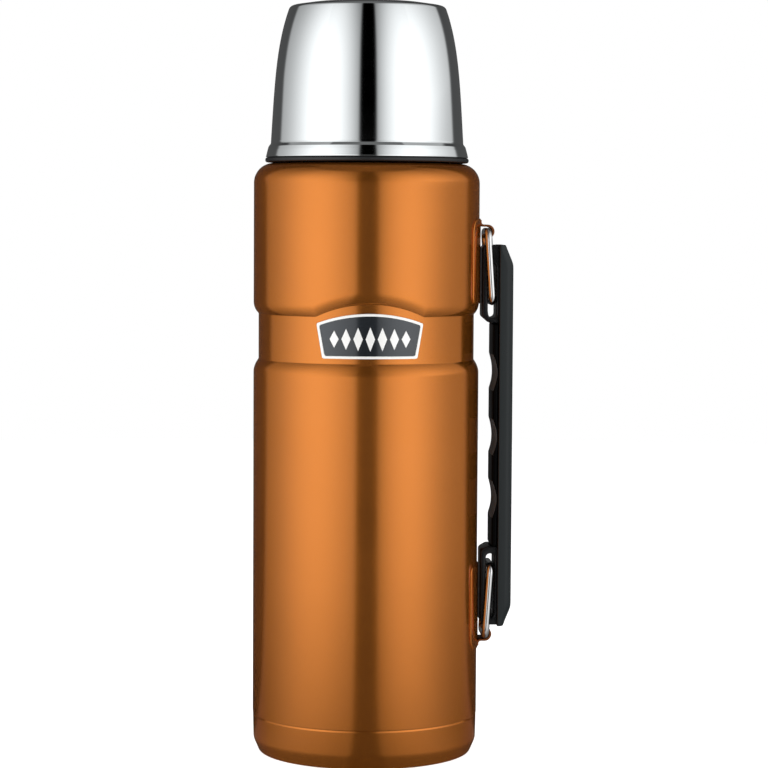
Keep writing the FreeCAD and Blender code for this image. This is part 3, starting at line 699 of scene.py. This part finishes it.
lip_seal = turned("lip_seal", filleted([
    (27.4, 239.3, 0), (27.4, 237.1, 0.2), (29.2, 237.1, 0.3), (29.75, 238.1, 0.2), (29.2, 239.1, 0.2),
    (29.2, 239.5, 0.2), (29.75, 240.5, 0.2), (29.2, 241.5, 0.3), (27.4, 241.5, 0.2), (27.4, 239.3, 0)],
    steps=5)[:-1])
lip_seal.data.materials.append(silicone)
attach(lip_seal, "plug_seal")
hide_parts("stopper_seal")
around_ring = np.linspace(0, 2 * math.pi, 24, endpoint=False)
o_ring = turned("o_ring", np.stack([32.4 + 0.8 * np.cos(around_ring), 262.45 + 0.8 * np.sin(around_ring)], axis=1))
o_ring.data.materials.append(silicone)
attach(o_ring, "stopper")
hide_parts("stopper_o_ring")
for node, finish in (("stopper_base", moulded_black), ("stopper_insulation", foam)):
    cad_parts[node].data.materials.clear()
    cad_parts[node].data.materials.append(finish)

# ======================================================================================================
# Cup: drawn stainless steel, mirror-polished. A flared band at its mouth is set off by a fine groove, and
# the wall closes slowly to a tight corner under the slightly crowned top.
# ======================================================================================================
CUP_LOW = 248.9
CUP_TOP = 313.7
CUP_SHEET = 0.5
WALL_LOW = 254.9


def cup_wall(inset, count=80):
    """The cup's wall from above its band to its corner. Its taper grows towards the top: with t the height in
    units of 50 mm, radius = 40.1 - 2.95 t - 2.7 t ^ 4."""
    part = np.linspace(0, 1.08, count)
    return np.stack([40.1 - 2.95 * part - 2.7 * part ** 4 - inset, WALL_LOW + 50.0 * part], axis=1)


cup_band = filleted([(41.75, CUP_LOW + 0.25, 0), (42.1, CUP_LOW, 0.12), (42.1, CUP_LOW + 0.5, 0.2),
                     (41.45, 252.0, 4.0), (41.05, 253.4, 0.5), (40.1, 254.7, 0.3), (40.15, WALL_LOW, 0)], steps=8)
cup_corner = filleted([(*cup_wall(0.0)[-1], 0), (32.35, 311.5, 2.2), (22.0, CUP_TOP - 0.6, 60.0),
                       (8.0, CUP_TOP, 20.0), (0.0, CUP_TOP, 0)], steps=14)
outside = np.concatenate([cup_band[:-1], cup_wall(0.0), cup_corner[1:]])
inside_corner = filleted([(*cup_wall(CUP_SHEET)[-1], 0), (31.9, 311.0, 1.7), (22.0, CUP_TOP - 1.1, 60.0),
                          (8.0, CUP_TOP - CUP_SHEET, 20.0), (0.0, CUP_TOP - CUP_SHEET, 0)], steps=10)
inside = np.concatenate([[(41.45, CUP_LOW + 0.1), (40.9, 252.0), (40.3, 253.4)], cup_wall(CUP_SHEET),
                         inside_corner[1:]])
cup = turned("steel_cup", np.concatenate([outside, inside[::-1]]), around=360)
mirror_steel = finish_of("mirror_polished_steel", (0.76, 0.79, 0.80), (0.80, 0.83, 0.84), (0.035, 0.07), cloud=60.0,
                         grain=6000.0, bump=0.01, depth=0.00002, metallic=1.0)
cup.data.materials.append(mirror_steel)
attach(cup, "cup")
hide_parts("cup_outer")

liner = turned("liner", subdivided(filleted([
    (37.3, 262.0, 0), (37.3, 249.1, 0.4), (39.3, 249.1, 0.1), (39.3, 250.6, 0.05), (38.9, 250.6, 0.05),
    (38.9, 251.7, 0.05), (40.5, 251.7, 0.05), (40.5, 250.6, 0.05), (40.1, 250.6, 0.05), (40.1, 249.1, 0.1),
    (41.3, 249.1, 0.1), (40.1, 253.3, 0.5), (39.3, 254.4, 1.0), (37.6, 278.5, 60.0), (34.05, 301.0, 30.0),
    (33.0, 307.2, 4.5), (0.0, 308.6, 0), (0.0, 307.0, 0), (31.4, 305.6, 3.0), (32.45, 300.5, 30.0),
    (36.0, 278.5, 60.0), (37.3, 262.0, 0)]), 3.0)[:-1])
liner_thread = thread("liner_thread", 37.3, 1.4, 251.4, False)
liner_plastic = finish_of("liner_plastic", (0.026, 0.026, 0.028), (0.042, 0.042, 0.044), (0.3, 0.42), bump=0.15)
for piece in (liner, liner_thread):
    piece.data.materials.append(liner_plastic)
    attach(piece, "cup")
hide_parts("cup_liner")

mouth_ring = turned("black_mouth_ring", filleted([
    (38.0, 247.8, 0), (38.0, 246.9, 0.3), (42.4, 246.9, 0.8), (42.4, 248.8, 0.7), (40.0, 248.8, 0.05),
    (40.0, 250.75, 0), (40.35, 250.75, 0), (40.35, 251.5, 0.1), (39.05, 251.5, 0.1), (39.05, 250.75, 0),
    (39.4, 250.75, 0), (39.4, 248.8, 0.05), (38.0, 248.8, 0.2), (38.0, 247.8, 0)], steps=6)[:-1], around=300)
ring_black = finish_of("ring_black", (0.005, 0.005, 0.006), (0.009, 0.009, 0.010), (0.35, 0.45), bump=0.08)
mouth_ring.data.materials.append(ring_black)
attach(mouth_ring, "cup_ring")
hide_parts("mouth_ring")

# ======================================================================================================
# Studio: a pale floor, two tall curved softboxes with a dark gap between them, the table's own glow that
# the wall of the bottle mirrors low down, and a small top light.
# ======================================================================================================
STUDIO_RADIUS = 1700.0
VIEW_TURN = math.radians(-1.0)
PANEL_POWER = 1.6
FLOOR_RADIUS = 1.55
AROUND_TONE = 0.16


def panels(azimuth, lift):
    """Brightness of the two panels at an angle from the camera's side: soft at the gap beside the camera, full
    at the peak, then falling to their far edges. lift is 0 low down and 1 high up."""
    away = np.abs(np.degrees(azimuth))
    left = azimuth < 0
    near = (1 - np.where(left, 0.5 * lift, 0.55) * np.exp(-(away - 10.0) / 13.0)) / (1 + np.exp(-(away - 10.3) / 0.7))
    far = 1 / (1 + np.exp((away - np.where(left, 122.0 + 6.5 * lift, 121.0 + 3.0 * lift)) / 1.2))
    peak = np.where(left, 51.0, 39.0 + 11.0 * lift)
    width = np.where(away < peak, 42.0, np.where(left, 44.0, 37.0 + 12.0 * lift))
    low = np.where(left, 0.20, 0.28)
    fall = low + (1 - low) * np.exp(-((away - peak) / width) ** 2)
    return near * far * fall + 0.05 * np.where(away > 60, 1.0, 1.0 - lift)


def wall_glow(azimuth, height):
    """The panels dim slowly above the bottle."""
    lift = np.clip((height - 250.0) / 250.0, 0, 1)
    return panels(azimuth, lift) / (1 + (np.clip(height - 500.0, 0, None) / 1700.0) ** 1.6)


def table_glow(azimuth, distance):
    """The table mirrors the panels far away and darkens towards the bottle's foot."""
    beside = distance - 47.0
    dim = 0.26 + 0.74 * (1 - np.exp(-(np.clip(beside, 0, None) / 430.0) ** 1.1))
    return panels(azimuth, 0.0) * dim * (1 - 0.75 * np.exp(-(beside / 12.0) ** 2))


studio_angle = np.linspace(-math.pi, math.pi, 361)
grid_angle, grid_height = np.meshgrid(studio_angle, np.linspace(0.0, 3400.0, 110))
table_angle, table_reach = np.meshgrid(studio_angle, np.geomspace(40.0, STUDIO_RADIUS, 70))
grid_reach = np.full_like(grid_angle, STUDIO_RADIUS)
table_level = np.full_like(table_angle, -1.0)
sheets = (
    ("softboxes", grid_angle, grid_reach, grid_height, wall_glow(grid_angle, grid_height)),
    ("table_glow", table_angle, table_reach, table_level, table_glow(table_angle, table_reach)),
)
glow_material = bpy.data.materials.new("softbox_glow")
glow_material.use_nodes = True
glow_nodes = glow_material.node_tree.nodes
glow_nodes.clear()
glow_value = glow_nodes.new("ShaderNodeAttribute")
glow_value.attribute_name = "glow"
glow_power = glow_nodes.new("ShaderNodeMath")
glow_power.operation = "MULTIPLY"
glow_power.inputs[1].default_value = PANEL_POWER
glow_shader = glow_nodes.new("ShaderNodeEmission")
glow_out = glow_nodes.new("ShaderNodeOutputMaterial")
glow_material.node_tree.links.new(glow_value.outputs["Fac"], glow_power.inputs[0])
glow_material.node_tree.links.new(glow_power.outputs[0], glow_shader.inputs["Strength"])
glow_material.node_tree.links.new(glow_shader.outputs[0], glow_out.inputs["Surface"])
for name, angle, reach, height, value in sheets:
    turn = angle + FRONT + VIEW_TURN
    sheet_points = np.stack([reach * np.cos(turn), reach * np.sin(turn), height], axis=-1) * MM
    index = np.arange(angle.size).reshape(angle.shape)
    sheet_faces = np.stack([index[:-1, :-1], index[:-1, 1:], index[1:, 1:], index[1:, :-1]], axis=-1)
    sheet_mesh = bpy.data.meshes.new(name)
    sheet_mesh.from_pydata(sheet_points.reshape(-1, 3).tolist(), [], sheet_faces.reshape(-1, 4).tolist())
    glow = sheet_mesh.attributes.new("glow", "FLOAT", "POINT")
    glow.data.foreach_set("value", value.ravel().astype(np.float32))
    sheet = bpy.data.objects.new(name, sheet_mesh)
    bpy.context.scene.collection.objects.link(sheet)
    sheet.visible_camera = False
    sheet.visible_shadow = False
    sheet.data.materials.append(glow_material)

floor_mesh = bpy.data.meshes.new("floor")
floor_turn = np.linspace(0, 2 * math.pi, 96, endpoint=False)
floor_edge = np.stack([FLOOR_RADIUS * np.cos(floor_turn), FLOOR_RADIUS * np.sin(floor_turn), np.zeros(96)], axis=1)
floor_mesh.from_pydata(floor_edge.tolist(), [], [list(range(96))])
floor = bpy.data.objects.new("floor", floor_mesh)
bpy.context.scene.collection.objects.link(floor)
floor_paper = bpy.data.materials.new("pale_paper")
floor_paper.use_nodes = True
paper = floor_paper.node_tree.nodes["Principled BSDF"]
paper.inputs["Base Color"].default_value = (0.8, 0.8, 0.8, 1)
paper.inputs["Roughness"].default_value = 0.9
paper.inputs["Emission Color"].default_value = (1, 1, 1, 1)
paper.inputs["Emission Strength"].default_value = 0.86
floor.data.materials.append(floor_paper)
floor.visible_glossy = False

top_light = bpy.data.lights.new("top_light", "AREA")
top_light.shape = "DISK"
top_light.size = 0.9
top_light.energy = 6.0
top_lamp = bpy.data.objects.new("top_light", top_light)
top_lamp.location = (0.0, 0.0, 1.8)
bpy.context.scene.collection.objects.link(top_lamp)
top_lamp.visible_glossy = False

world = bpy.data.worlds.new("studio")
bpy.context.scene.world = world
world.use_nodes = True
world_nodes = world.node_tree.nodes
seen = world_nodes.new("ShaderNodeLightPath")
shade = world_nodes.new("ShaderNodeMix")
shade.data_type = "RGBA"
shade.inputs["A"].default_value = (AROUND_TONE, AROUND_TONE, AROUND_TONE, 1)
shade.inputs["B"].default_value = (1, 1, 1, 1)
world.node_tree.links.new(seen.outputs["Is Camera Ray"], shade.inputs["Factor"])
world.node_tree.links.new(shade.outputs["Result"], world_nodes["Background"].inputs["Color"])
bpy.context.scene.view_settings.view_transform = "Standard"

# ======================================================================================================
# Camera: level with the upper body, a long way off, looking slightly down.
# ======================================================================================================
CAMERA_PLACE = (-0.0411, -1.1153, 0.2259)
CAMERA_TURN = math.radians(2.5)
CAMERA_TILT = math.radians(3.66)
CAMERA_ROLL = math.radians(0.31)
ahead = np.array([math.sin(CAMERA_TURN) * math.cos(CAMERA_TILT), math.cos(CAMERA_TURN) * math.cos(CAMERA_TILT),
                  -math.sin(CAMERA_TILT)])
level_right = np.array([math.cos(CAMERA_TURN), -math.sin(CAMERA_TURN), 0.0])
level_up = np.cross(level_right, ahead)
right = math.cos(CAMERA_ROLL) * level_right + math.sin(CAMERA_ROLL) * level_up
up = -math.sin(CAMERA_ROLL) * level_right + math.cos(CAMERA_ROLL) * level_up
lens = bpy.data.cameras.new("camera")
lens.lens = 125.0
lens.sensor_width = 36.0
lens.clip_start = 0.05
camera = bpy.data.objects.new("camera", lens)
bpy.context.scene.collection.objects.link(camera)
pose = np.eye(4)
pose[:3, 0], pose[:3, 1], pose[:3, 2], pose[:3, 3] = right, up, -ahead, CAMERA_PLACE
camera.matrix_world = Matrix(pose.tolist())
bpy.context.scene.camera = camera
